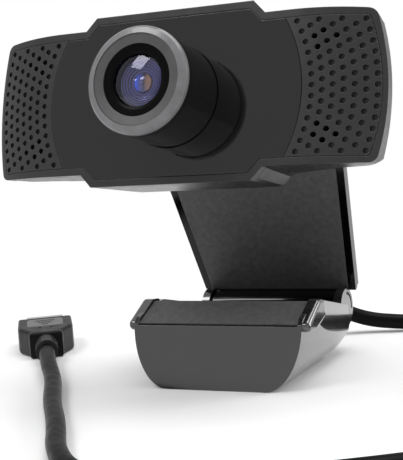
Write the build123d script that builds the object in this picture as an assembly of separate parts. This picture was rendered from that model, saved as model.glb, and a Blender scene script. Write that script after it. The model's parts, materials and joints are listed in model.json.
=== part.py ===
from build123d import *
import os
from math import cos, pi, radians, sin, sqrt, tan

os.makedirs("parts", exist_ok=True)

# Webcam on a folding desk clip, with its USB lead. Millimetres, +Z up, the lens faces -Y.
# Origin: middle of the object's footprint (lead left out), on the surface that the foot stands on.
# The head is modelled in its own frame: origin on the lens axis at the face plate's front, y to the
# rear, z up. The leg is modelled in its own frame: origin on the foot hinge, z along the leg.

# Places of the three bodies at rest
BASE_Y = -11.05          # front bottom edge of the foot
FACE_Y = BASE_Y - 12.1   # centre of the face plate
FACE_Z = 73.9
HEAD_TILT = 13.5         # the head looks up by this
HINGE_Y = BASE_Y + 45.5  # foot hinge axis
HINGE_Z = 13.0
LEG_LEAN = 22.9          # the leg leans forward by this
LEG_REACH = 55.0         # from the foot hinge to the tilt hinge

# Head
FACE_TOP = 21.0          # half height at the middle of the head
WING_TOP = 17.9          # half height of the wings
STEP_OUT = 23.7          # the step between them, where the wing starts
STEP_IN = 20.8           # and where the middle ends
CORNER_X = 49.2          # half width at the wing's corners
SIDE_X = 51.8            # half width at mid height
RIM = 1.75               # width of the bezel's rim
FLAT_X = 30.0            # the front is flat this far out
WING_R = 44.5            # then it curves back
REAR_Y = 22.3            # rear face of the middle
DRAFT = 5.0              # the rear shell narrows towards the back by this angle
BEZEL_DEPTH = 3.2
SKIN = 1.8               # thickness of plates and walls
GRILLE_R = 32.8          # arc between the face plate and the grilles
GAP = 0.12               # seam between plates

# Lens
BARREL_R = 12.3
RING_R = 12.5
RING_Y = -17.4           # front of the lens ring
BEVEL_R = 10.6
CONE_R = 8.35
GLASS_R = 6.3
CELL_R = 7.0

# Foot
FOOT_HALF = 23.1
FOOT_FLAT = 13.3         # half width of the flat underside
FOOT_RISE = 16.0         # height where the sides stand upright
FOOT_LEAN = 3.6          # the front leans back by this
LIP_LOW = 16.3           # heights of the lip pad's edges
LIP_TOP = 20.4
EAR_R = 5.2
EAR_IN = 18.8
WALL = 1.8
INSERT_Y = BASE_Y + 22.0

# Leg
LEG_FRONT = 4.4          # front face, behind the line between the hinges
LEG_THICK = 3.0
LEG_LOW_HALF = 23.0
LEG_TOP_HALF = 28.2
LEG_LOW = 3.2
LEG_TOP = 60.0
PIN_R = 1.5

# Neck and tilt hinge
KNUCKLE_HALF = 9.2       # half width of the leg's knuckle between the cheeks
CHEEK_IN = 10.1
CHEEK_OUT = 14.2
CHEEK_R = 3.9
NECK_SCREW_X = 6.0

# Lead
CORD_D = 4.5
EXIT_Z = 14.2            # the lead leaves the head this far above the lens axis
GLAND_LONG = 16.0
FLOOR_Z = CORD_D / 2 + 0.1
COIL_TURN_R = 26.0       # middle of the bundle
COIL_X, COIL_Y = 88.0, 2.5

# Plug, modelled in its own frame: origin where the lead ends, y towards the contacts
PLUG_END = (-62.8, 10.65, 4.0)
PLUG_TURN = 33.4         # its direction on the floor, from +Y
RELIEF_LONG = 9.4
BODY_LONG = 27.0
SHELL_LONG = 12.0
BODY_Y = RELIEF_LONG
SHELL_Y = RELIEF_LONG + BODY_LONG

head_place = Pos(0, FACE_Y, FACE_Z) * Rot(-HEAD_TILT, 0, 0)
leg_place = Pos(0, HINGE_Y, HINGE_Z) * Rot(LEG_LEAN, 0, 0)


def save(name, shape, place=None):
    """Write one node, after moving it from its body's own frame."""
    if place is not None:
        shape = place * shape
    solids = shape.solids()
    export_step(solids[0] if len(solids) == 1 else Compound(children=list(solids)), f"parts/{name}.step")
    box = Compound(children=[s.moved(Location()) for s in solids]).bounding_box()
    print(f"{name:18s} {len(solids)} solids  {shape.volume:9.1f} mm3  "
          f"x {box.min.X:6.1f} {box.max.X:6.1f}  y {box.min.Y:6.1f} {box.max.Y:6.1f}  "
          f"z {box.min.Z:6.1f} {box.max.Z:6.1f}")


def block(x0, x1, y0, y1, z0, z1):
    """A box between the given faces."""
    return Pos((x0 + x1) / 2, (y0 + y1) / 2, (z0 + z1) / 2) * Box(x1 - x0, y1 - y0, z1 - z0)


def rod(radius, y0, y1, x=0.0, z=0.0):
    """A cylinder along Y."""
    return Pos(x, (y0 + y1) / 2, z) * Rot(90, 0, 0) * Cylinder(radius, y1 - y0)


def bar(radius, x0, x1, y=0.0, z=0.0):
    """A cylinder along X."""
    return Pos((x0 + x1) / 2, y, z) * Rot(0, 90, 0) * Cylinder(radius, x1 - x0)


def turned(points):
    """A solid of revolution about the lens axis; points are (radius, y)."""
    face = make_face(Polyline(*[(r, y) for r, y in points], close=True))
    return revolve(face, Axis.Y)


# ---------------------------------------------------------------- head outlines
def outline(inset):
    """The head's front view, moved inwards by inset."""
    k = inset * 0.42
    top, wing = FACE_TOP - inset, WING_TOP - inset
    step_in, step_out = STEP_IN - k, STEP_OUT - k
    corner, side = CORNER_X - inset * 0.9, SIDE_X - inset * 0.9
    right = Polyline((step_in, top), (step_out, wing), (corner, wing))
    end = ThreePointArc((corner, wing), (side, 0), (corner, -wing))
    low = Polyline((corner, -wing), (step_out, -wing), (step_in, -top), (-step_in, -top),
                   (-step_out, -wing), (-corner, -wing))
    far = ThreePointArc((-corner, -wing), (-side, 0), (-corner, wing))
    left = Polyline((-corner, wing), (-step_out, wing), (-step_in, top), (step_in, top))
    face = make_face([right, end, low, far, left])
    corners = [v for v in face.vertices() if abs(v.X) > CORNER_X - 5 * max(inset, 0.4)]
    return fillet(corners, max(2.6 - inset, 0.5))


def outline_prism(inset, y0, y1, draft=0.0):
    """The outline carried from y0 to y1, narrowing by draft degrees."""
    rear_facing = Plane(origin=(0, y0, 0), x_dir=(-1, 0, 0), z_dir=(0, 1, 0))
    return extrude(rear_facing * outline(inset), amount=y1 - y0, taper=draft)


def wing_drop(x):
    """How far the front surface lies behind the face plate at x."""
    out = max(abs(x) - FLAT_X, 0)
    return WING_R - sqrt(WING_R**2 - out**2)


def front_curve(y, far=56.0):
    """The front surface seen from above, moved back by y, from left to right."""
    mid = (far + FLAT_X) / 2
    left = ThreePointArc((-far, y + wing_drop(far)), (-mid, y + wing_drop(mid)), (-FLAT_X, y))
    right = ThreePointArc((FLAT_X, y), (mid, y + wing_drop(mid)), (far, y + wing_drop(far)))
    return [left, Line((-FLAT_X, y), (FLAT_X, y)), right]


def front_layer(y0, y1, far=56.0):
    """Everything between the front surface moved back by y0 and by y1."""
    side = wing_drop(far)
    sides = [Line((-far, y0 + side), (-far, y1 + side)), Line((far, y0 + side), (far, y1 + side))]
    face = make_face(front_curve(y0, far) + front_curve(y1, far) + sides)
    return extrude(face, amount=30, both=True)


def rear_limit(inset):
    """The space ahead of the rear surface, seen from above; inset moves that surface forward."""
    rear = REAR_Y - inset
    points = [(58, -30), (58, 8.2 - inset), (38, 12.9 - inset), (22.5, rear),
              (-22.5, rear), (-38, 12.9 - inset), (-58, 8.2 - inset), (-58, -30)]
    face = make_face(Polyline(*points, close=True))
    shoulders = [v for v in face.vertices() if 20 < abs(v.X) < 40]
    return extrude(fillet(shoulders, 7.0), amount=30, both=True)


# ---------------------------------------------------------------- head casing
screw_spots = [(27.0, 11.0), (-27.0, 11.0), (27.0, -11.0), (-27.0, -11.0)]


def front_bezel():
    """The frame round the front, with a rim and the steps at its corners."""
    ring = outline_prism(0, 0, 16, DRAFT) & front_layer(0, BEZEL_DEPTH)
    ring -= outline_prism(RIM, -1, 20)
    ledge = outline_prism(RIM - 0.4, -1, 20) & front_layer(SKIN + 0.05, BEZEL_DEPTH)
    ledge -= outline_prism(RIM + 1.4, -1, 20)
    body = ring + ledge
    for x, z in screw_spots:
        side = 1 if z > 0 else -1
        tab = block(x - 3.2, x + 3.2, SKIN + 0.05, BEZEL_DEPTH, min(z - 3 * side, side * 15.4),
                    max(z - 3 * side, side * 15.4))
        body += tab - rod(1.0, -1, 6, x, z)
    return body


def face_plate():
    """The glossy plate in the middle of the front, with the opening for the barrel."""
    plate = outline_prism(RIM + GAP, -0.01, SKIN) & block(-40, 40, 0, SKIN, -30, 30)
    plate &= rod(GRILLE_R, -1, 4)
    return plate - rod(BARREL_R + 0.15, -1, 4)


def grille_holes(side):
    """Centres of the holes: seven columns that follow the arc, every second one shifted."""
    pitch, outer_bow, places = 2.5, GRILLE_R + 30, []
    for column in range(7):
        radius = GRILLE_R + 2.35 + column * 2.35
        count = 13 if column % 2 == 0 else 12
        for row in range(count):
            z = (row - (count - 1) / 2) * pitch
            bow = outer_bow - sqrt(outer_bow**2 - z**2)
            curve = GRILLE_R - sqrt(GRILLE_R**2 - z**2)
            share = 1 - column / 9
            x = radius - curve * share - bow * (1 - share)
            places.append((column, row, side * x, z))
    return places


def open_hole(column, row):
    """Five holes in a ring, near the top and near the bottom, go right through for the microphones."""
    count = 13 if column % 2 == 0 else 12
    near = min(row, count - 1 - row)
    return (column, near) in {(1, 1), (2, 1), (3, 1), (1, 2), (2, 2)}


def grille(side):
    """One wing plate with its holes, on the left or the right."""
    plate = outline_prism(RIM + GAP, -1, 20) & front_layer(0, SKIN)
    plate -= rod(GRILLE_R + GAP, -5, 30)
    plate &= block(0, 60, -5, 30, -30, 30) if side > 0 else block(-60, 0, -5, 30, -30, 30)
    holes = []
    for column, row, x, z in grille_holes(side):
        deep = 4.0 if open_hole(column, row) else 0.9
        y = wing_drop(x)
        holes.append(rod(0.68, y - 2, y + deep, x, z))
    return plate - Compound(children=holes)


def rear_shell():
    """The hollow rear casing, with the boss and opening for the lead."""
    outer = outline_prism(0, 0, 30, DRAFT) & rear_limit(0)
    outer -= front_layer(-20, BEZEL_DEPTH + 0.05)
    hollow = outline_prism(SKIN, 0, 30, DRAFT) & rear_limit(SKIN)
    hollow &= block(-45, 45, -5, 30, -30, 30)
    shell = outer - hollow
    for x, z in screw_spots:
        post = rod(2.6, BEZEL_DEPTH + 0.1, 19, x, z) & rear_limit(0.5)
        shell += post
        shell -= rod(1.15, 0, 30, x, z)
        shell -= rod(2.1, 15.5, 30, x, z)
    shell -= rod(3.05, 15, 30, 0, EXIT_Z)
    return shell - Compound(children=[rod(1.1, 15, 30, x, 0) for x in (-NECK_SCREW_X, NECK_SCREW_X)])


# ---------------------------------------------------------------- lens
def lens_barrel():
    """The fixed tube, with a flange behind the face plate."""
    return turned([(11.0, RING_Y + 4.0), (BARREL_R, RING_Y + 4.0), (BARREL_R, SKIN + 0.05),
                   (14.5, SKIN + 0.05), (14.5, 3.6), (11.0, 3.6)])


def lens_ring():
    """The bevelled front ring, with a spigot that turns inside the barrel."""
    profile = [(BEVEL_R, 0), (RING_R - 0.5, 0.45), (RING_R, 1.0), (RING_R, 3.9), (10.95, 3.9),
               (10.95, 9.0), (9.6, 9.0), (9.6, 1.7), (BEVEL_R, 1.7)]
    return turned([(radius, RING_Y + y) for radius, y in profile])


def cone_insert():
    """The grey dished ring inside the bevel."""
    rim = BEVEL_R - 0.04
    profile = [(rim, 0.2), (CONE_R, 0.5), (CONE_R, 5.0), (9.55, 5.0), (9.55, 1.65), (rim, 1.65)]
    return turned([(radius, RING_Y + y) for radius, y in profile])


def lens_retainer():
    """The black ring that holds the front glass in the lens cell."""
    profile = [(CONE_R - 0.05, 0.75), (GLASS_R + 0.4, 0.85), (GLASS_R - 0.2, 1.1), (GLASS_R - 0.2, 1.35),
               (CELL_R + 0.05, 1.35), (CELL_R + 0.05, 5.0), (CONE_R - 0.05, 5.0)]
    return turned([(radius, RING_Y + y) for radius, y in profile])


def lens_cell():
    """The tube that carries the glass and screws into the holder."""
    return turned([(GLASS_R + 0.03, RING_Y + 1.5), (CELL_R, RING_Y + 1.5), (CELL_R, 8.0), (4.9, 8.0),
                   (4.9, 2.0), (GLASS_R + 0.03, 2.0)])


def dome(radius, sag, y_rim, y_back):
    """A lens element: a spherical cap of the given sag on a short cylinder."""
    ball_r = (radius**2 + sag**2) / (2 * sag)
    start, apex = (radius, y_rim), (0, y_rim - sag)
    mid_r = radius * 0.5
    mid = (mid_r, y_rim - (sag - ball_r + sqrt(ball_r**2 - mid_r**2)))
    face = make_face([ThreePointArc(start, mid, apex), Line(apex, (0, y_back)),
                      Line((0, y_back), (radius, y_back)), Line((radius, y_back), start)])
    return revolve(face, Axis.Y)


def lens_baffle():
    """Stepped rings behind the front glass, down to the iris opening."""
    step_deep, points = 0.2, [(GLASS_R, RING_Y + 3.0)]
    for n, radius in enumerate((5.5, 4.9, 4.3, 3.7, 3.1, 2.5)):
        y = RING_Y + 3.0 + n * step_deep
        points.append((radius, y))
        points.append((radius, y + step_deep))
    points.append((2.2, RING_Y + 4.3))
    points.append((2.2, RING_Y + 7.0))
    points.append((GLASS_R, RING_Y + 7.0))
    return turned(points)


def lens_holder():
    """The mount that the lens cell screws into, on the board."""
    base = block(-9, 9, 6.5, 13.0, -9, 9) + rod(8.8, 1.5, 6.6)
    base -= rod(CELL_R + 0.05, 0, 9.0)
    base -= block(-5.4, 5.4, 8.9, 14, -5.4, 5.4)
    for x in (-11.0, 11.0):
        base += block(min(x, x / 2), max(x, x / 2), 11.0, 13.0, -2.4, 2.4) - rod(0.9, 10, 14, x - x / 11, 0)
    return base


def main_board():
    """The circuit board."""
    board = block(-31, 31, 13.05, 14.65, -12.5, 12.5)
    for x, z in screw_spots:
        board -= rod(3.4, 12, 16, x, z)
    return board - block(10.2, 32, 12, 16, 8.6, 14) - block(-32, -10.2, 12, 16, 8.6, 14)


def board_chips():
    """Chips soldered to the board."""
    main = block(14, 21, 14.7, 15.7, -4, 3)
    flash = block(-19, -14, 14.7, 15.6, -3, 1)
    crystal = block(-26, -22.5, 14.7, 16.2, -6, -1)
    return Compound(children=[main, flash, crystal])


def image_sensor():
    """The sensor behind the lens."""
    return block(-4.2, 4.2, 11.9, 13.0, -3.8, 3.8)


def microphone(side):
    """A microphone can behind one grille."""
    y = 5.0
    return rod(3.0, y, y + 2.7, side * 38.4, 10.0)


def mic_boot(side):
    """The soft boot round one microphone."""
    y = 4.6
    sleeve = rod(3.9, y, y + 3.2, side * 38.4, 10.0)
    return sleeve - rod(3.03, y + 0.35, y + 4, side * 38.4, 10.0) - rod(1.6, y - 1, y + 1, side * 38.4, 10.0)


def shell_screws():
    """Screws that hold the rear shell."""
    solids = []
    for x, z in screw_spots:
        screw = rod(1.95, 15.52, 16.8, x, z) + rod(0.95, 2.4, 15.6, x, z)
        solids.append(screw - block(x - 1.3, x + 1.3, 16.2, 17, z - 0.25, z + 0.25)
                      - block(x - 0.25, x + 0.25, 16.2, 17, z - 1.3, z + 1.3))
    return Compound(children=solids)


# ---------------------------------------------------------------- neck and tilt hinge
def to_head(x, y, z):
    """A world point in the head's frame."""
    t = radians(HEAD_TILT)
    dy, dz = y - FACE_Y, z - FACE_Z
    return x, dy * cos(t) - dz * sin(t), dy * sin(t) + dz * cos(t)


TILT_Y = HINGE_Y - LEG_REACH * sin(radians(LEG_LEAN))
TILT_Z = HINGE_Z + LEG_REACH * cos(radians(LEG_LEAN))
_, AXIS_Y, AXIS_Z = to_head(0, TILT_Y, TILT_Z)


def neck_bracket():
    """Base plate on the rear shell with two cheeks for the tilt pin."""
    base = block(-16, 16, REAR_Y + 0.02, REAR_Y + 2.6, -8.2, 6.2)
    base = fillet(base.edges().filter_by(Axis.Y), 2.5)
    for side in (-1, 1):
        base -= rod(1.07, REAR_Y - 1, REAR_Y + 5, side * NECK_SCREW_X, 0)
        x0, x1 = sorted((side * CHEEK_IN, side * CHEEK_OUT))
        cheek = block(x0, x1, REAR_Y + 2.0, AXIS_Y, AXIS_Z - CHEEK_R + 0.4, AXIS_Z + CHEEK_R - 0.4)
        base += cheek + bar(CHEEK_R, x0, x1, AXIS_Y, AXIS_Z)
    base -= bar(PIN_R + 0.01, -20, 20, AXIS_Y, AXIS_Z)
    return base


def neck_screws():
    """Screws that hold the neck bracket to the rear shell."""
    solids = [rod(2.0, 18.9, REAR_Y - SKIN - 0.02, x, 0) + rod(1.05, 20.0, 24.0, x, 0)
              for x in (-NECK_SCREW_X, NECK_SCREW_X)]
    return Compound(children=solids)


def tilt_pin():
    """The pin between head and leg."""
    return bar(PIN_R, -CHEEK_OUT - 0.6, CHEEK_OUT + 0.6, AXIS_Y, AXIS_Z)


def pin_caps():
    """Caps that cover the ends of the tilt pin."""
    caps = [bar(2.6, CHEEK_OUT + 0.02, CHEEK_OUT + 1.3, AXIS_Y, AXIS_Z),
            bar(2.6, -CHEEK_OUT - 1.3, -CHEEK_OUT - 0.02, AXIS_Y, AXIS_Z)]
    bore = bar(PIN_R, -CHEEK_OUT - 0.6, CHEEK_OUT + 0.6, AXIS_Y, AXIS_Z)
    return Compound(children=[cap - bore for cap in caps])


def tilt_washers():
    """Friction washers between knuckle and cheeks."""
    solids = [bar(3.6, x, x + 0.7, AXIS_Y, AXIS_Z) - bar(PIN_R + 0.04, -20, 20, AXIS_Y, AXIS_Z)
              for x in (KNUCKLE_HALF + 0.1, -KNUCKLE_HALF - 0.8)]
    return Compound(children=solids)


def cord_gland():
    """Rubber strain relief in the rear shell, tapering along the lead."""
    flange = rod(4.6, REAR_Y + 0.02, REAR_Y + 1.6, 0, EXIT_Z)
    stem = rod(3.0, REAR_Y - SKIN - 1.2, REAR_Y + 0.1, 0, EXIT_Z)
    plane = Plane(origin=(0, REAR_Y + 1.5, EXIT_Z), x_dir=(1, 0, 0), z_dir=(0, 1, 0))
    taper = loft([plane * Circle(3.9), plane.offset(GLAND_LONG - 1.5) * Circle(2.75)])
    gland = flange + stem + taper
    for n in range(4):
        y = REAR_Y + 4.0 + n * 2.6
        r = 3.9 - (y - REAR_Y - 1.5) * 1.15 / (GLAND_LONG - 1.5)
        gland -= rod(6, y, y + 1.1, 0, EXIT_Z) - rod(r - 0.7, y - 1, y + 3, 0, EXIT_Z)
    return gland



# ---------------------------------------------------------------- leg
def leg_half(z):
    """Half width of the leg at a height along it."""
    return LEG_LOW_HALF + (LEG_TOP_HALF - LEG_LOW_HALF) * (z - LEG_LOW) / (LEG_TOP - LEG_LOW)


def leg_panel(z0, z1, y0, y1, margin=0.0, corner=0.0):
    """A slab in the leg's outline, between two heights and two depths."""
    points = [(-leg_half(z0) + margin, z0), (leg_half(z0) - margin, z0), (leg_half(z1) - margin, z1),
              (-leg_half(z1) + margin, z1)]
    front = Plane(origin=(0, y1, 0), x_dir=(1, 0, 0), z_dir=(0, -1, 0))
    face = make_face(Polyline(*points, close=True))
    if corner:
        face = fillet([v for v in face.vertices() if v.Y > (z0 + z1) / 2], corner)
    return extrude(front * face, amount=y1 - y0)


def leg_frame():
    """The leg's panel with a knuckle at each end and a pocket for the pad."""
    back = LEG_FRONT + LEG_THICK
    frame = leg_panel(LEG_LOW, LEG_TOP, LEG_FRONT, back, corner=5.0)
    frame += leg_panel(LEG_LOW - 1.3, LEG_LOW + 2, LEG_FRONT + 1.3, back, margin=0.4)
    foot_half = EAR_IN - 0.4
    lower = block(-foot_half, foot_half, 0, back, -3.2, LEG_LOW + 1)
    lower -= block(-30, 30, -1, LEG_FRONT + 0.02, LEG_LOW - 0.02, LEG_LOW + 4)
    frame += lower
    frame -= leg_panel(LEG_LOW, LEG_TOP - 2.2, LEG_FRONT - 1, LEG_FRONT + 1.2, margin=2.1, corner=3.5)
    frame -= leg_panel(LEG_LOW + 8, LEG_TOP - 8, back - 0.8, back + 1, margin=4.5, corner=3.0)
    frame += bar(4.2, -foot_half, foot_half)
    upper = block(-KNUCKLE_HALF, KNUCKLE_HALF, 0, back, LEG_REACH - 4.4, LEG_REACH + 4.4)
    frame += upper + bar(4.9, -KNUCKLE_HALF, KNUCKLE_HALF, 0, LEG_REACH)
    frame -= bar(PIN_R + 0.05, -40, 40, 0, 0)
    return frame - bar(PIN_R + 0.05, -40, 40, 0, LEG_REACH)


def leg_pad():
    """The matt inlay on the front of the leg."""
    pad = leg_panel(LEG_LOW + 0.02, LEG_TOP - 2.3, LEG_FRONT - 0.1, LEG_FRONT + 1.15, margin=2.15, corner=3.4)
    return pad - block(-KNUCKLE_HALF - 0.2, KNUCKLE_HALF + 0.2, -1, 8, LEG_REACH - 5.2, LEG_TOP + 1)


# ---------------------------------------------------------------- foot
def foot_side():
    """The foot seen from the side, as y and z from its front bottom edge."""
    y0 = BASE_Y
    points = [(y0 + 0.4, 0), (y0 + FOOT_LEAN, LIP_LOW), (y0 + FOOT_LEAN + 1.4, LIP_LOW + 1.4),
              (y0 + 13.0, LIP_TOP - 0.3), (y0 + 17.7, LIP_TOP - 0.3),
              (y0 + 45.5, 13.6), (y0 + 45.5 + EAR_R - 0.6, 11.4), (y0 + 44.6, 6.4), (y0 + 38.5, 0)]
    side = make_face(Polyline(*points, close=True))
    low_back = [v for v in side.vertices() if v.X > y0 + 38 and v.Y < 7]
    return fillet(low_back, 2.2)


def foot_section(inset, low=0.0):
    """The foot seen from the front: flat bottom, and sides that rise as a quarter of an ellipse."""
    flat, half, rise = FOOT_FLAT - inset * 0.3, FOOT_HALF - inset, FOOT_RISE - low
    right = EllipticalCenterArc((flat, FOOT_RISE), half - flat, rise, start_angle=270, arc_size=90)
    left = EllipticalCenterArc((-flat, FOOT_RISE), half - flat, rise, start_angle=180, arc_size=90)
    top = Polyline((half, FOOT_RISE), (half, 30), (-half, 30), (-half, FOOT_RISE))
    return make_face([Line((-flat, low), (flat, low)), right, top, left])


def foot_plan(inset):
    """The foot seen from above: it narrows towards the hinge."""
    y0 = BASE_Y
    points = [(-30, y0 - 5), (30, y0 - 5), (FOOT_HALF + 0.1 - inset, y0 + 14), (21.2 - inset, y0 + 46),
              (21.0 - inset, y0 + 60), (-21.0 + inset, y0 + 60), (-21.2 + inset, y0 + 46),
              (-FOOT_HALF - 0.1 + inset, y0 + 14)]
    return make_face(Polyline(*points, close=True))


def foot_block(inset, low):
    """The foot as one solid, with its walls moved inwards by inset."""
    facing = Plane(origin=(0, BASE_Y + 60, 0), x_dir=(1, 0, 0), z_dir=(0, -1, 0))
    section = extrude(facing * foot_section(inset, low), amount=60)
    plan = extrude(foot_plan(inset), amount=40)
    return section & plan


def side_prism(face, half):
    """A side view carried across the foot."""
    across = Plane(origin=(half, 0, 0), x_dir=(0, 1, 0), z_dir=(1, 0, 0))
    return extrude(across * face, amount=-2 * half)


def foot_lip_ends():
    """The rounded glossy ends that close the lip on both sides."""
    y0 = BASE_Y
    points = [(y0 + 4.2, 14.4), (y0 + 3.3, 16.4), (y0 + 12.6, 21.0), (y0 + 16.4, 20.6), (y0 + 17.0, 16.0),
              (y0 + 9.0, 13.6)]
    face = make_face(Polyline(*points, close=True))
    face = fillet(face.vertices(), 1.3)
    ends = []
    for side in (-1, 1):
        across = Plane(origin=(side * 21.9, 0, 0), x_dir=(0, side, 0), z_dir=(side, 0, 0))
        flat = face if side > 0 else mirror(face, Plane.YZ)
        end = extrude(across * flat, amount=3.2)
        outer = [e for e in end.edges() if abs(abs(e.center().X) - 25.1) < 0.05]
        ends.append(fillet(outer, 1.1))
    return ends


def foot_shell():
    """The boat-shaped foot: open above, with the lip in front and an ear at each side."""
    body = foot_block(0, 0) & side_prism(foot_side(), 30)
    ears = [bar(EAR_R, -21.1, -EAR_IN, HINGE_Y, HINGE_Z), bar(EAR_R, EAR_IN, 21.1, HINGE_Y, HINGE_Z)]
    body += ears[0] + ears[1]
    hollow = foot_block(WALL, WALL) & block(-30, 30, BASE_Y + FOOT_LEAN + 1.4, BASE_Y + 70, WALL, 40)
    body -= hollow & block(-30, 30, BASE_Y + 15.4, BASE_Y + 36.2, WALL, 40)
    body -= hollow & block(-30, 30, BASE_Y + 5.4, BASE_Y + 15.5, WALL, 13.4)
    body -= block(-EAR_IN, EAR_IN, BASE_Y + 36.1, BASE_Y + 70, 4.4, 40)
    for end in foot_lip_ends():
        body += end
    body -= lip_recess()
    boss = Pos(0, INSERT_Y, 3.6) * Cylinder(6.2, 7.2)
    body += boss
    body -= Pos(0, INSERT_Y, 3.4) * Cylinder(4.21, 7.0)
    body -= bar(PIN_R + 0.01, -20.4, 20.4, HINGE_Y, HINGE_Z)
    for side in (-1, 1):
        groove = bar(4.2, side * 20.9 - 0.5, side * 20.9 + 0.5, HINGE_Y, HINGE_Z)
        groove -= bar(3.4, side * 20.9 - 1, side * 20.9 + 1, HINGE_Y, HINGE_Z)
        groove &= block(-30, 30, HINGE_Y, HINGE_Y + 9, HINGE_Z - 1, HINGE_Z + 9)
        body -= groove
    return body


def lip_recess():
    """The pocket in the lip for the pad."""
    y0 = BASE_Y
    points = [(y0 + FOOT_LEAN - 1, LIP_LOW + 0.02), (y0 + 4.6, LIP_LOW - 1.0), (y0 + 14.2, LIP_TOP - 2.1),
              (y0 + 14.3, LIP_TOP + 3), (y0 + FOOT_LEAN - 1, LIP_TOP + 3)]
    return side_prism(make_face(Polyline(*points, close=True)), 21.95)


def lip_pad():
    """The soft strip on the lip, with rounded ends."""
    y0 = BASE_Y
    points = [(y0 + FOOT_LEAN + 0.1, LIP_LOW + 0.05), (y0 + 4.75, LIP_LOW - 0.85),
              (y0 + 14.1, LIP_TOP - 2.05),
              (y0 + 14.1, LIP_TOP - 0.1), (y0 + 13.2, LIP_TOP)]
    strip = side_prism(make_face(Polyline(*points, close=True)), 21.85)
    return strip


def insert_nut():
    """Brass insert with a 1/4 inch camera thread."""
    return Pos(0, INSERT_Y, 3.45) * Cylinder(4.2, 6.7) - Pos(0, INSERT_Y, 3.4) * Cylinder(2.6, 8)


def foot_pin():
    """The pin between leg and foot."""
    return bar(PIN_R, -20.3, 20.3, HINGE_Y, HINGE_Z)


def foot_washers():
    """Friction washers beside the leg on the foot pin."""
    solids = [bar(3.6, x, x + 0.3, HINGE_Y, HINGE_Z) - bar(PIN_R + 0.04, -30, 30, HINGE_Y, HINGE_Z)
              for x in (EAR_IN - 0.35, -EAR_IN + 0.05)]
    return Compound(children=solids)


# ---------------------------------------------------------------- lead
def lead(points):
    """A round tube along straight runs joined by arcs as large as the runs allow."""
    radii = []
    for a, b, c in zip(points, points[1:], points[2:]):
        u, v = Vector(*b) - Vector(*a), Vector(*c) - Vector(*b)
        radii.append(0.45 * min(u.length, v.length) / tan(radians(u.get_angle(v) / 2)))
    path = FilletPolyline(*points, radius=radii)
    start = Plane(origin=points[0], z_dir=Vector(*points[1]) - Vector(*points[0]))
    tube = sweep(start * Circle(CORD_D / 2), path=path)
    share = tube.volume / (pi * CORD_D**2 / 4 * path.length)
    print(f"lead: length {path.length:.1f} mm, smallest radius {min(radii):.1f}, "
          f"volume share {share:.3f}, radii {[round(r) for r in radii]}")
    return tube


def world_of_head(x, y, z):
    """A point of the head's frame in the world."""
    t = radians(HEAD_TILT)
    return x, FACE_Y + y * cos(t) + z * sin(t), FACE_Z - y * sin(t) + z * cos(t)


def coil_solid():
    """The outer shape of six turns, three beside each other in two layers."""
    ring = Cylinder(COIL_TURN_R + 1.5 * CORD_D + 0.2, 2 * CORD_D + 0.1)
    ring -= Cylinder(COIL_TURN_R - 1.5 * CORD_D - 0.2, 20)
    return Pos(COIL_X, COIL_Y, 0.65 + CORD_D + 0.05) * ring


def coil_tie():
    """A hook-and-loop band round the bundle."""
    half_wide = 5.0
    inner = sqrt((COIL_TURN_R - 1.5 * CORD_D - 0.2) ** 2 - half_wide**2) - 0.2
    outer = COIL_TURN_R + 1.5 * CORD_D + 0.3
    top = 0.65 + 2 * CORD_D + 0.2
    band = block(inner - 0.6, outer + 0.6, -half_wide, half_wide, 0.03, top + 0.6)
    band -= block(inner, outer, -half_wide - 1, half_wide + 1, 0.6, top)
    return Pos(COIL_X, COIL_Y, 0) * band


lead_upper_route = [
    world_of_head(0, REAR_Y + GLAND_LONG + 0.02, EXIT_Z),
    world_of_head(0, REAR_Y + GLAND_LONG + 16.0, EXIT_Z),
    (0, 44.95, 62.8),
    (0, 47.45, 46.6),
]
lead_drop_route = [
    (0, 47.45, 46.58),
    (0, 49.9, 31.0),
    (3, 54.0, 15.0),
    (14, 61.5, 4.4),
    (31, 66.0, FLOOR_Z),
]
lead_floor_route = [
    (31, 66.0, FLOOR_Z),
    (48, 70.5, FLOOR_Z),
    (68, 66.0, FLOOR_Z),
    (86, 52.0, FLOOR_Z),
    (104.0, 27.5, 3.0),
]
lead_tail_route = [
    (109.6, -19.1, 7.4),
    (98, -30.7, 5.0),
    (87, -43.5, 2.7),
    (74, -57.5, FLOOR_Z),
    (57, -69, FLOOR_Z),
    (39, -79.5, FLOOR_Z),
    (22, -87, FLOOR_Z),
    (5, -84.5, FLOOR_Z),
    (-8, -72, FLOOR_Z),
    (-20.5, -51.5, FLOOR_Z),
    (-33, -34, FLOOR_Z),
    (-44, -15.5, 2.7),
    (-54, -2.7, 4.0),
    (-62.8, 10.65, 4.0),
]

# ---------------------------------------------------------------- plug
plug_place = Pos(*PLUG_END) * Rot(0, 0, PLUG_TURN)


def plug_relief():
    """The slotted strain relief behind the plug."""
    body = rod(3.3, 0, RELIEF_LONG) + rod(2.6, RELIEF_LONG - 0.1, RELIEF_LONG + 3)
    for n in range(3):
        y = 1.3 + n * 2.7
        for side in (-1, 1):
            body -= block(min(side * 1.6, side * 4), max(side * 1.6, side * 4), y, y + 1.4, -4, 4)
    return body


def plug_outline():
    """The outline of the overmould from above."""
    right = [(4.85, BODY_Y), (5.1, BODY_Y + 3.0), (8.1, BODY_Y + 9.5), (8.4, BODY_Y + 12.0), (8.4, SHELL_Y)]
    points = right + [(-x, y) for x, y in reversed(right)]
    face = make_face(Polyline(*points, close=True))
    waist = [v for v in face.vertices() if BODY_Y + 2 < v.Y < BODY_Y + 11]
    return fillet(waist, 3.0)


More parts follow.
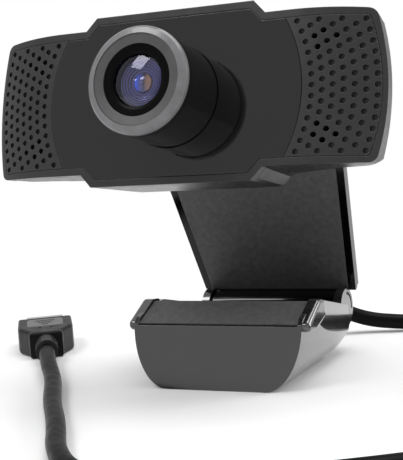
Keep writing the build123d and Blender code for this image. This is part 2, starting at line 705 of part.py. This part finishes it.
def plug_overmould():
    """The moulded grip of the plug, with a recess for the inlay."""
    body = Pos(0, 0, -3.95) * extrude(plug_outline(), amount=7.9)
    edges = [e for e in body.edges() if abs(abs(e.center().Z) - 3.95) < 0.01]
    body = fillet(edges, 1.0)
    body -= rod(2.63, BODY_Y - 1, BODY_Y + 3.05)
    body -= block(-6.02, 6.02, SHELL_Y - 6.02, SHELL_Y + 1, -2.27, 2.27)
    body -= mark_panel(0.0)
    for x in (-1.7, 1.7):
        body -= Pos(x, BODY_Y + 8.3, 3.95) * Cylinder(0.55, 0.6)
    return body


def mark_panel(clear):
    """A rounded panel on the grip, for the recess and for the inlay in it."""
    panel = Pos(0, SHELL_Y - 8.9, 3.75) * Box(11.3 - clear, 13.6 - clear, 0.6)
    return fillet(panel.edges().filter_by(Axis.Z), 1.6)


def plug_inlay():
    """Grey inlay with a plain raised bar pattern."""
    panel = mark_panel(0.06) & block(-8, 8, BODY_Y, SHELL_Y, 3.46, 3.85)
    for n, width in enumerate((2.0, 4.0, 6.0)):
        y = SHELL_Y - 12.2 + n * 3.0
        panel += block(-width / 2, width / 2, y, y + 1.0, 3.8, 4.05)
    return panel


def plug_shell():
    """The metal shell, open at the front, with its latch windows."""
    shell = block(-6.0, 6.0, SHELL_Y - 6.0, SHELL_Y + SHELL_LONG, -2.25, 2.25)
    shell = fillet(shell.edges().filter_by(Axis.Y), 0.5)
    shell -= block(-5.7, 5.7, SHELL_Y - 5.7, SHELL_Y + SHELL_LONG + 1, -1.95, 1.95)
    for x in (-3.6, -1.9, 1.9, 3.6):
        shell -= block(x - 0.55, x + 0.55, SHELL_Y + 6.2, SHELL_Y + 8.4, -4, 4)
    shell -= block(-1.1, 1.1, SHELL_Y + 2.4, SHELL_Y + 3.6, 0, 4)
    return shell


def plug_tongue():
    """The plastic tongue inside the shell."""
    core = block(-5.65, 5.65, SHELL_Y - 5.65, SHELL_Y - 1.0, -1.9, 1.9)
    return core + block(-5.65, 5.65, SHELL_Y - 1.1, SHELL_Y + SHELL_LONG - 0.6, 0.0, 1.9)


def plug_contacts():
    """The four contacts on the tongue."""
    solids = [block(x - 0.5, x + 0.5, SHELL_Y - 0.9, SHELL_Y + SHELL_LONG - 1.4, -0.25, -0.02)
              for x in (-3.5, -1.0, 1.0, 3.5)]
    return Compound(children=solids)


# ---------------------------------------------------------------- write the nodes
head_nodes = {
    "front_bezel": front_bezel,
    "face_plate": face_plate,
    "grille_left": lambda: grille(-1),
    "grille_right": lambda: grille(1),
    "rear_shell": rear_shell,
    "lens_barrel": lens_barrel,
    "lens_ring": lens_ring,
    "cone_insert": cone_insert,
    "lens_retainer": lens_retainer,
    "lens_cell": lens_cell,
    "front_glass": lambda: dome(GLASS_R, 1.4, RING_Y + 1.6, RING_Y + 2.8),
    "lens_baffle": lens_baffle,
    "inner_glass": lambda: dome(2.15, 0.75, RING_Y + 3.7, RING_Y + 5.0),
    "rear_glass": lambda: dome(4.85, 1.0, 4.6, 7.8),
    "lens_holder": lens_holder,
    "ir_filter": lambda: block(-5.3, 5.3, 9.05, 9.6, -5.3, 5.3),
    "image_sensor": image_sensor,
    "main_board": main_board,
    "board_chips": board_chips,
    "mic_left": lambda: microphone(-1),
    "mic_right": lambda: microphone(1),
    "mic_boots": lambda: Compound(children=[mic_boot(-1), mic_boot(1)]),
    "shell_screws": shell_screws,
    "neck_bracket": neck_bracket,
    "neck_screws": neck_screws,
    "tilt_pin": tilt_pin,
    "pin_caps": pin_caps,
    "tilt_washers": tilt_washers,
    "cord_gland": cord_gland,
}
leg_nodes = {"leg_frame": leg_frame, "leg_pad": leg_pad}
foot_nodes = {
    "foot_shell": foot_shell,
    "lip_pad": lip_pad,
    "insert_nut": insert_nut,
    "foot_pin": foot_pin,
    "foot_washers": foot_washers,
    "lead_coil": coil_solid,
    "coil_tie": coil_tie,
}
plug_nodes = {
    "plug_relief": plug_relief,
    "plug_overmould": plug_overmould,
    "plug_inlay": plug_inlay,
    "plug_shell": plug_shell,
    "plug_tongue": plug_tongue,
    "plug_contacts": plug_contacts,
}

for name, make in head_nodes.items():
    save(name, make(), head_place)
for name, make in leg_nodes.items():
    save(name, make(), leg_place)
for name, make in foot_nodes.items():
    save(name, make())
for name, make in plug_nodes.items():
    save(name, make(), plug_place)
save("lead_upper", lead(lead_upper_route))
save("lead_drop", lead(lead_drop_route))
save("lead_floor", lead(lead_floor_route))
save("lead_tail", lead(lead_tail_route))
print(f"tilt hinge at y {TILT_Y:.3f}, z {TILT_Z:.3f}; foot hinge at y {HINGE_Y:.3f}, z {HINGE_Z:.3f}")
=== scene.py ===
import json
from math import cos, pi, radians, sin

import bpy
from mathutils import Matrix, Vector


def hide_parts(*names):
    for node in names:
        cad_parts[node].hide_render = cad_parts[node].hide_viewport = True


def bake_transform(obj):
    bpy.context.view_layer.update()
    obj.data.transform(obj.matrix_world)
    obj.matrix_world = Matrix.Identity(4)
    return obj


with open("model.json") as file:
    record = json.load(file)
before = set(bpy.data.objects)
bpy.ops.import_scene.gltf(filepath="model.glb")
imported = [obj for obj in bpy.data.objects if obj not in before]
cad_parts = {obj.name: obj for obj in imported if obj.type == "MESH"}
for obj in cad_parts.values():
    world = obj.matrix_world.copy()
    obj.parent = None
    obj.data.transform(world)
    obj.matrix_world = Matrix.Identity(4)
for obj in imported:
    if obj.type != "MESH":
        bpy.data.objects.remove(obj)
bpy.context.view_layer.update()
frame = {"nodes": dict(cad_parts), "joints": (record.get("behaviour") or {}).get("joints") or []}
nodes = frame["nodes"]
MM = 0.001

# Places that the looks depend on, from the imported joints
joints = {joint["name"]: joint for joint in frame["joints"]}
FACE = Vector(joints["focus_turn"]["pos_m"])          # lens axis at the face plate
HEAD_TILT = radians(13.5)
RING_FRONT = -0.0174                                  # front of the lens ring, in the head's frame
BEVEL_DEEP = 0.002                                    # the grey bevel ends this far behind it
BEVEL_BLEND = 0.0001
LENS_EDGE = 0.0065                                    # a little outside the front glass
PUPIL_HALF = 0.0018
TURNED_PITCH = 0.00035                                # spacing of the turned rings


# ---------------------------------------------------------------- camera
def add_camera():
    """A long lens, a little right of the webcam and level with the head."""
    data = bpy.data.cameras.new("camera")
    data.lens = 89.2
    data.sensor_width = 36.0
    data.shift_x = -0.0302
    data.shift_y = -0.0676
    data.clip_start = 0.01
    data.clip_end = 50
    camera = bpy.data.objects.new("camera", data)
    yaw, pitch, roll = radians(24.62), radians(-4.31), radians(-4.155)
    turn = Matrix.Rotation(yaw, 4, "Z") @ Matrix.Rotation(pi / 2 + pitch, 4, "X")
    turn = turn @ Matrix.Rotation(roll, 4, "Z")
    camera.matrix_world = Matrix.Translation((0.1203, -0.2644, 0.0692)) @ turn
    bpy.context.scene.collection.objects.link(camera)
    bpy.context.scene.camera = camera


# ---------------------------------------------------------------- lead
CORD_D = 4.5
COIL_AT = (88.0, 2.5)
LAYER_LOW, LAYER_HIGH = 2.9, 7.45
TURNS = [(30.6, LAYER_LOW), (26.0, LAYER_LOW), (21.4, LAYER_LOW),
         (21.4, LAYER_HIGH), (26.0, LAYER_HIGH), (30.5, LAYER_HIGH)]
FLOOR_Z = 2.35

lead_upper_route = [
    (0, 17.39, 78.76),
    (0, 32.93, 75.03),
    (0, 44.95, 62.8),
    (0, 47.45, 46.6),
]
lead_drop_route = [
    (0, 47.45, 46.58),
    (0, 49.9, 31.0),
    (3, 54.0, 15.0),
    (14, 61.5, 4.4),
    (31, 66.0, FLOOR_Z),
]
lead_floor_route = [
    (48, 70.5, FLOOR_Z),
    (68, 66.0, FLOOR_Z),
    (86, 52.0, FLOOR_Z),
]
lead_tail_route = [
    (98, -30.7, 5.0),
    (87, -43.5, 2.7),
    (74, -57.5, FLOOR_Z),
    (57, -69, FLOOR_Z),
    (39, -79.5, FLOOR_Z),
    (22, -87, FLOOR_Z),
    (5, -84.5, FLOOR_Z),
    (-8, -72, FLOOR_Z),
    (-20.5, -51.5, FLOOR_Z),
    (-33, -34, FLOOR_Z),
    (-44, -15.5, 2.7),
    (-54, -2.7, 4.0),
    (-62.8, 10.65, 4.0),
]


def coil_points():
    """The turns, clockwise from where the lead arrives to where it leaves at the front."""
    per_turn, start, end = 14, radians(57), radians(-45)
    sweep = start - end + 2 * pi * (len(TURNS) - 1)
    count = round(sweep / (2 * pi) * per_turn)
    points = []
    for n in range(count + 1):
        turned = sweep / (2 * pi) * n / count
        index = min(int(turned), len(TURNS) - 1)
        following = min(index + 1, len(TURNS) - 1)
        share = max(0.0, (turned - index - 0.7) / 0.3) if turned < len(TURNS) - 1 else 0.0
        radius = TURNS[index][0] + (TURNS[following][0] - TURNS[index][0]) * share
        height = TURNS[index][1] + (TURNS[following][1] - TURNS[index][1]) * share
        angle = start - 2 * pi * turned
        points.append((COIL_AT[0] + radius * cos(angle), COIL_AT[1] + radius * sin(angle), height))
    return points


def smooth_curve(name, points, bevel):
    """A NURBS curve with the route's points as its control points."""
    data = bpy.data.curves.new(name, "CURVE")
    data.dimensions = "3D"
    data.resolution_u = 10
    data.bevel_depth = bevel
    data.bevel_resolution = 5
    data.use_fill_caps = True
    spline = data.splines.new("NURBS")
    spline.points.add(len(points) - 1)
    for point, (x, y, z) in zip(spline.points, points):
        point.co = (x * MM, y * MM, z * MM, 1)
    spline.order_u = 3
    spline.use_endpoint_u = True
    curve = bpy.data.objects.new(name, data)
    bpy.context.scene.collection.objects.link(curve)
    bpy.context.view_layer.update()
    return curve


def mesh_of_curve(curve):
    """The curve's mesh; the curve itself is removed."""
    depsgraph = bpy.context.evaluated_depsgraph_get()
    mesh = bpy.data.meshes.new_from_object(curve.evaluated_get(depsgraph))
    bpy.data.objects.remove(curve)
    return mesh


def lead_piece(name, points, finish):
    """A round tube along the route, and the line that it follows."""
    line = mesh_of_curve(smooth_curve(name + "_line", points, 0))
    path = [vertex.co.copy() for vertex in line.vertices]
    mesh = mesh_of_curve(smooth_curve(name + "_tube", points, CORD_D / 2 * MM))
    for polygon in mesh.polygons:
        polygon.use_smooth = True
    mesh.materials.clear()
    mesh.materials.append(finish)
    piece = bpy.data.objects.new(name, mesh)
    bpy.context.scene.collection.objects.link(piece)
    length = sum((b - a).length for a, b in zip(path, path[1:]))
    return piece, path, length


def add_lead(finish):
    """The two stretches: from the head to the leg, and from the leg to the plug."""
    upper, path, length = lead_piece("lead_at_head", lead_upper_route, finish)
    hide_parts("lead_upper")
    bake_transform(upper)
    print("lead_at_head", round(length, 4))
    route = lead_drop_route + lead_floor_route + coil_points() + lead_tail_route
    lower, path, length = lead_piece("lead_and_coil", route, finish)
    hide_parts("lead_drop", "lead_floor", "lead_coil", "lead_tail")
    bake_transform(lower)
    print("lead_and_coil", round(length, 4))


# ---------------------------------------------------------------- material tools
class Shader:
    """A small wrapper that adds nodes to one material."""

    def __init__(self, name):
        self.material = bpy.data.materials.new(name)
        self.material.use_nodes = True
        self.tree = self.material.node_tree
        self.tree.nodes.clear()
        self.output = self.add("ShaderNodeOutputMaterial")
        self.surface = self.add("ShaderNodeBsdfPrincipled")
        self.link(self.surface.outputs[0], self.output.inputs["Surface"])
        self.place = self.add("ShaderNodeTexCoord").outputs["Object"]

    def add(self, kind, **settings):
        node = self.tree.nodes.new(kind)
        for key, value in settings.items():
            setattr(node, key, value)
        return node

    def link(self, source, target):
        self.tree.links.new(source, target)

    def in_head(self):
        """Coordinates in the head's frame, from the lens axis at the face plate."""
        mapping = self.add("ShaderNodeMapping", vector_type="TEXTURE")
        mapping.inputs["Location"].default_value = FACE
        mapping.inputs["Rotation"].default_value = (-HEAD_TILT, 0, 0)
        self.link(self.place, mapping.inputs["Vector"])
        return mapping.outputs[0]

    def noise(self, scale, detail=3.0, stretch=None, vector=None):
        texture = self.add("ShaderNodeTexNoise")
        texture.inputs["Scale"].default_value = scale
        texture.inputs["Detail"].default_value = detail
        source = vector or self.place
        if stretch:
            mapping = self.add("ShaderNodeMapping")
            mapping.inputs["Scale"].default_value = stretch
            self.link(source, mapping.inputs["Vector"])
            source = mapping.outputs[0]
        self.link(source, texture.inputs["Vector"])
        return texture.outputs["Fac"]

    def ramp(self, source, stops):
        ramp = self.add("ShaderNodeValToRGB")
        while len(ramp.color_ramp.elements) < len(stops):
            ramp.color_ramp.elements.new(0.5)
        for element, (position, colour) in zip(ramp.color_ramp.elements, stops):
            element.position = position
            element.color = (*colour, 1)
        self.link(source, ramp.inputs[0])
        return ramp.outputs[0]

    def between(self, source, low, high):
        """A value from low to high as source goes from 0.3 to 0.7."""
        scale = self.add("ShaderNodeMapRange")
        scale.inputs["From Min"].default_value = 0.3
        scale.inputs["From Max"].default_value = 0.7
        scale.inputs["To Min"].default_value = low
        scale.inputs["To Max"].default_value = high
        self.link(source, scale.inputs["Value"])
        return scale.outputs[0]

    def bump(self, source, distance, strength=1.0, edge=0.0):
        bump = self.add("ShaderNodeBump")
        bump.inputs["Strength"].default_value = strength
        bump.inputs["Distance"].default_value = distance
        self.link(source, bump.inputs["Height"])
        if edge:
            rounded = self.add("ShaderNodeBevel", samples=4)
            rounded.inputs["Radius"].default_value = edge
            self.link(rounded.outputs[0], bump.inputs["Normal"])
        self.link(bump.outputs[0], self.surface.inputs["Normal"])

    def set(self, **values):
        for key, value in values.items():
            self.surface.inputs[key.replace("_", " ")].default_value = value


def grey(value):
    return (value, value, value * 1.03)


def plastic(name, shade, rough, grain=0.0, spread=0.12, gloss=0.0, edge=0.00025, specular=0.5):
    """Moulded plastic: slight mottling of colour and sheen, a fine grain, soft edges."""
    s = Shader(name)
    cloud = s.noise(90, 4)
    low, high = shade * (1 - spread), shade * (1 + spread)
    s.link(s.ramp(cloud, [(0.3, grey(low)), (0.7, grey(high))]), s.surface.inputs["Base Color"])
    fine = s.noise(2600, 2)
    s.link(s.between(s.noise(400, 5), rough * 0.85, rough * 1.15), s.surface.inputs["Roughness"])
    s.bump(fine, 0.00004, 0.15 + grain, edge)
    s.set(Specular_IOR_Level=specular, Coat_Weight=gloss, Coat_Roughness=0.04)
    return s.material


def rubber(name, shade, rough, grain=0.5, edge=0.0003):
    """Soft rubber: matt, finely grained."""
    s = Shader(name)
    s.link(s.ramp(s.noise(700, 6), [(0.3, grey(shade * 0.8)), (0.7, grey(shade * 1.2))]),
           s.surface.inputs["Base Color"])
    s.link(s.between(s.noise(1500, 3), rough * 0.9, rough * 1.1), s.surface.inputs["Roughness"])
    s.bump(s.noise(3800, 2), 0.00005, grain, edge)
    s.set(Specular_IOR_Level=0.4)
    return s.material


def metal(name, colour, rough, stretch, edge=0.0002):
    """Metal with fine scratches along the stretched direction."""
    s = Shader(name)
    scratches = s.noise(900, 6, stretch=stretch)
    dark = tuple(c * 0.85 for c in colour)
    s.link(s.ramp(scratches, [(0.25, dark), (0.75, colour)]), s.surface.inputs["Base Color"])
    s.link(s.between(scratches, rough * 0.7, rough * 1.3), s.surface.inputs["Roughness"])
    s.bump(scratches, 0.00002, 0.4, edge)
    s.set(Metallic=1.0)
    return s.material


def axis_distance(s):
    """Distance from the lens axis, in metres."""
    flat = s.add("ShaderNodeVectorMath", operation="MULTIPLY")
    flat.inputs[1].default_value = (1, 0, 1)
    s.link(s.in_head(), flat.inputs[0])
    distance = s.add("ShaderNodeVectorMath", operation="LENGTH")
    s.link(flat.outputs[0], distance.inputs[0])
    return distance.outputs["Value"]


def lens_radius(s):
    """Distance from the lens axis, as a share of the front glass."""
    share = s.add("ShaderNodeMath", operation="MULTIPLY")
    share.inputs[1].default_value = 1 / LENS_EDGE
    s.link(axis_distance(s), share.inputs[0])
    return share.outputs[0]


def turned_grey(name):
    """The satin funnel round the lens, with fine turned rings."""
    s = Shader(name)
    wave = s.add("ShaderNodeMath", operation="SINE")
    scaled = s.add("ShaderNodeMath", operation="MULTIPLY")
    scaled.inputs[1].default_value = 2 * pi / TURNED_PITCH
    s.link(axis_distance(s), scaled.inputs[0])
    s.link(scaled.outputs[0], wave.inputs[0])
    s.link(s.ramp(s.noise(300, 4), [(0.3, grey(0.055)), (0.7, grey(0.07))]), s.surface.inputs["Base Color"])
    s.bump(wave.outputs[0], 0.00002, 0.25, 0.0002)
    s.link(s.between(s.noise(800, 3), 0.34, 0.44), s.surface.inputs["Roughness"])
    return s.material


def bevelled_ring(name):
    """Glossy black at the side, satin grey on the bevel and the face."""
    s = Shader(name)
    separate = s.add("ShaderNodeSeparateXYZ")
    s.link(s.in_head(), separate.inputs[0])
    step = s.add("ShaderNodeMapRange")
    step.inputs["From Min"].default_value = RING_FRONT + BEVEL_DEEP - BEVEL_BLEND
    step.inputs["From Max"].default_value = RING_FRONT + BEVEL_DEEP + BEVEL_BLEND
    s.link(separate.outputs["Y"], step.inputs["Value"])
    cloud = s.noise(300, 4)
    face = s.ramp(cloud, [(0.3, grey(0.14)), (0.7, grey(0.18))])
    mix = s.add("ShaderNodeMix", data_type="RGBA")
    s.link(step.outputs[0], mix.inputs["Factor"])
    s.link(face, mix.inputs[6])
    mix.inputs[7].default_value = (*grey(0.006), 1)
    s.link(mix.outputs[2], s.surface.inputs["Base Color"])
    s.link(s.between(s.noise(500, 4), 0.2, 0.26), s.surface.inputs["Roughness"])
    s.bump(s.noise(2600, 2), 0.00002, 0.15, 0.0002)
    s.set(Specular_IOR_Level=0.35, Coat_Weight=0.15, Coat_Roughness=0.08)
    return s.material


def coated_glass(name, tint):
    """A clear front element with a coloured coating: mostly seen through, with a sharp reflection."""
    s = Shader(name)
    clear = s.add("ShaderNodeBsdfTransparent")
    clear.inputs["Color"].default_value = (*tint, 1)
    gloss = s.add("ShaderNodeBsdfGlossy")
    gloss.inputs["Roughness"].default_value = 0.02
    s.link(s.ramp(lens_radius(s), [(0.0, (0.9, 0.93, 1.0)), (0.6, (0.8, 0.78, 1.0)), (1.0, (0.95, 0.97, 1.0))]),
           gloss.inputs["Color"])
    weight = s.add("ShaderNodeFresnel")
    weight.inputs["IOR"].default_value = 1.5
    mix = s.add("ShaderNodeMixShader")
    s.link(weight.outputs[0], mix.inputs[0])
    s.link(clear.outputs[0], mix.inputs[1])
    s.link(gloss.outputs[0], mix.inputs[2])
    s.tree.nodes.remove(s.surface)
    s.link(mix.outputs[0], s.output.inputs["Surface"])
    return s.material


def baffle_with_painted_reflection(name):
    """The rings behind the front glass, with blue and violet rings of painted reflection from the coating laid
    into their base colour.
    """
    s = Shader(name)
    # The violet lines and the blue haze are painted reflections of the coating, not the baffle's own colour.
    dark, line = (0.004, 0.004, 0.012), (0.12, 0.11, 0.32)
    stops = [(0.0, dark), (0.33, (0.03, 0.03, 0.12))]
    for place in (0.42, 0.52, 0.62, 0.71, 0.79):
        stops += [(place - 0.035, dark), (place, line), (place + 0.035, dark)]
    stops += [(0.85, (0.006, 0.006, 0.008))]
    s.link(s.ramp(lens_radius(s), stops), s.surface.inputs["Base Color"])
    s.bump(s.noise(2000, 2), 0.00002, 0.2)
    s.set(Roughness=0.3)
    return s.material


def pupil_with_painted_reflection(name):
    """The inner element: blue on one side and orange below on the other, a painted reflection of the coating
    laid into its base colour.
    """
    s = Shader(name)
    separate = s.add("ShaderNodeSeparateXYZ")
    s.link(s.in_head(), separate.inputs[0])
    across = s.add("ShaderNodeMapRange")
    across.inputs["From Min"].default_value = -PUPIL_HALF
    across.inputs["From Max"].default_value = PUPIL_HALF
    s.link(separate.outputs["X"], across.inputs["Value"])
    # Blue on one side and orange on the other are painted reflection colours, set by position across the
    # element.
    stops = [(0.1, (0.1, 0.2, 0.9)), (0.4, (0.06, 0.08, 0.25)),
             (0.65, (0.03, 0.02, 0.03)), (0.9, (0.5, 0.25, 0.06))]
    s.link(s.ramp(across.outputs[0], stops), s.surface.inputs["Base Color"])
    s.bump(s.noise(1500, 2), 0.00001, 0.1)
    s.set(Roughness=0.05, Coat_Weight=1.0, Coat_Roughness=0.02)
    return s.material


def woven(name):
    """The webbing of the coil's tie."""
    s = Shader(name)
    weave = s.add("ShaderNodeTexWave", wave_type="BANDS", bands_direction="DIAGONAL")
    weave.inputs["Scale"].default_value = 700
    s.link(s.place, weave.inputs["Vector"])
    threads = s.ramp(weave.outputs["Fac"], [(0.2, grey(0.012)), (0.8, grey(0.04))])
    s.link(threads, s.surface.inputs["Base Color"])
    s.bump(weave.outputs["Fac"], 0.0002, 0.6)
    s.set(Roughness=0.85)
    return s.material


def circuit(name):
    """A circuit board with tracks."""
    s = Shader(name)
    tracks = s.add("ShaderNodeTexBrick")
    tracks.inputs["Scale"].default_value = 180
    tracks.inputs["Color1"].default_value = (0.01, 0.09, 0.035, 1)
    tracks.inputs["Color2"].default_value = (0.012, 0.11, 0.045, 1)
    tracks.inputs["Mortar"].default_value = (0.03, 0.2, 0.09, 1)
    s.link(s.place, tracks.inputs["Vector"])
    s.link(tracks.outputs["Color"], s.surface.inputs["Base Color"])
    s.bump(tracks.outputs["Fac"], 0.00003, 0.5)
    s.set(Roughness=0.35)
    return s.material


def paint(material, *names):
    """One material for each named node."""
    for name in names:
        data = nodes[name].data
        data.materials.clear()
        data.materials.append(material)


def paint_all():
    """Every node's material."""
    paint(plastic("face_gloss", 0.005, 0.03, gloss=0.3, edge=0.0003), "face_plate")
    paint(plastic("casing_satin", 0.018, 0.33, grain=0.15), "front_bezel", "grille_left", "grille_right")
    paint(plastic("casing_rear", 0.014, 0.30, grain=0.15), "rear_shell", "neck_bracket")
    paint(plastic("barrel_gloss", 0.006, 0.10, gloss=0.6), "lens_barrel")
    paint(bevelled_ring("ring_bevel"), "lens_ring")
    paint(turned_grey("cone_satin"), "cone_insert")
    paint(plastic("lens_black", 0.0015, 0.3, specular=0.06), "lens_retainer", "lens_cell")
    paint(plastic("cap_black", 0.006, 0.22), "pin_caps")
    paint(baffle_with_painted_reflection("baffle_painted_reflection_rings"), "lens_baffle")
    paint(coated_glass("front_coating", (0.9, 0.9, 1.0)), "front_glass")
    paint(pupil_with_painted_reflection("pupil_painted_reflection_colours"), "inner_glass")
    paint(coated_glass("rear_coating", (0.6, 0.9, 0.9)), "rear_glass", "ir_filter")
    paint(plastic("foot_gloss", 0.014, 0.16, gloss=0.9, specular=1.0), "foot_shell")
    paint(plastic("leg_gloss", 0.002, 0.1, gloss=0.2, specular=0.25), "leg_frame")
    paint(rubber("leg_inlay", 0.072, 0.45), "leg_pad")
    paint(rubber("lip_soft", 0.085, 0.5), "lip_pad")
    paint(rubber("gland_rubber", 0.006, 0.5), "cord_gland", "mic_boots", "plug_relief")
    paint(plastic("inner_black", 0.01, 0.5), "lens_holder", "plug_tongue", "board_chips", "image_sensor")
    paint(circuit("board_green"), "main_board")
    paint(metal("pin_steel", (0.62, 0.62, 0.63), 0.3, (1, 12, 12)), "tilt_pin", "foot_pin", "tilt_washers",
          "foot_washers", "shell_screws", "neck_screws", "mic_left", "mic_right")
    paint(metal("plug_steel", (0.78, 0.78, 0.8), 0.24, (6, 1, 6)), "plug_shell")
    paint(metal("brass", (0.78, 0.56, 0.24), 0.28, (6, 6, 1)), "insert_nut", "plug_contacts")
    paint(plastic("plug_satin", 0.006, 0.36, grain=0.3, specular=0.12), "plug_overmould")
    paint(plastic("inlay_grey", 0.1, 0.4), "plug_inlay")
    paint(woven("tie_weave"), "coil_tie")


# ---------------------------------------------------------------- studio
ROOM_LIGHT = 0.6
FLOOR_CENTRE = (0.0, 0.0, 0.0)
SHADOW_NEAR = 0.05                 # the floor is plainly lit this near
SHADOW_FAR = 0.17                  # and pure white this far off


def add_area(name, at, aim, size, watts, size_y=None):
    """A rectangular lamp at one point, turned to another."""
    data = bpy.data.lights.new(name, "AREA")
    data.shape = "RECTANGLE"
    data.size = size
    data.size_y = size_y or size
    data.energy = watts
    light = bpy.data.objects.new(name, data)
    light.location = at
    light.rotation_euler = (Vector(aim) - Vector(at)).to_track_quat("-Z", "Y").to_euler()
    bpy.context.scene.collection.objects.link(light)


def add_studio():
    """White room, floor and lamps."""
    world = bpy.data.worlds.new("studio")
    bpy.context.scene.world = world
    world.use_nodes = True
    sky = world.node_tree.nodes["Background"]
    sky.inputs["Color"].default_value = (1, 1, 1, 1)
    path = world.node_tree.nodes.new("ShaderNodeLightPath")
    level = world.node_tree.nodes.new("ShaderNodeMapRange")
    level.inputs["To Min"].default_value = ROOM_LIGHT
    level.inputs["To Max"].default_value = 1.0
    world.node_tree.links.new(path.outputs["Is Camera Ray"], level.inputs["Value"])
    world.node_tree.links.new(level.outputs[0], sky.inputs["Strength"])
    bpy.ops.mesh.primitive_plane_add(size=12, location=(0, 0, 0))
    floor = bpy.context.object
    floor.name = "floor"
    s = Shader("floor_white")
    whites = s.ramp(s.noise(3, 2), [(0.3, (0.86, 0.86, 0.86)), (0.7, (0.9, 0.9, 0.9))])
    s.link(whites, s.surface.inputs["Base Color"])
    s.set(Roughness=0.7, Specular_IOR_Level=0.2)
    distance = s.add("ShaderNodeVectorMath", operation="DISTANCE")
    distance.inputs[1].default_value = FLOOR_CENTRE
    s.link(s.place, distance.inputs[0])
    share = s.add("ShaderNodeMapRange", interpolation_type="SMOOTHSTEP")
    share.inputs["From Min"].default_value = SHADOW_NEAR
    share.inputs["From Max"].default_value = SHADOW_FAR
    s.link(distance.outputs["Value"], share.inputs["Value"])
    white = s.add("ShaderNodeEmission")
    mix = s.add("ShaderNodeMixShader")
    s.link(share.outputs[0], mix.inputs[0])
    s.link(s.surface.outputs[0], mix.inputs[1])
    s.link(white.outputs[0], mix.inputs[2])
    s.link(mix.outputs[0], s.output.inputs["Surface"])
    floor.data.materials.append(s.material)
    add_area("key", (-0.35, -0.45, 0.8), (0, 0, 0.05), 0.35, 3.2)
    add_area("top", (0.15, 0.1, 0.95), (0, 0, 0.03), 0.6, 4.6)
    add_area("side_panel", (0.30, 0.16, 0.10), (0.02, 0.0, 0.05), 0.16, 0.9, 0.3)
    bpy.context.scene.view_settings.view_transform = "Standard"


add_camera()
cord_finish = plastic("lead_jacket", 0.003, 0.4, edge=0, specular=0.08)
add_lead(cord_finish)
paint_all()
add_studio()
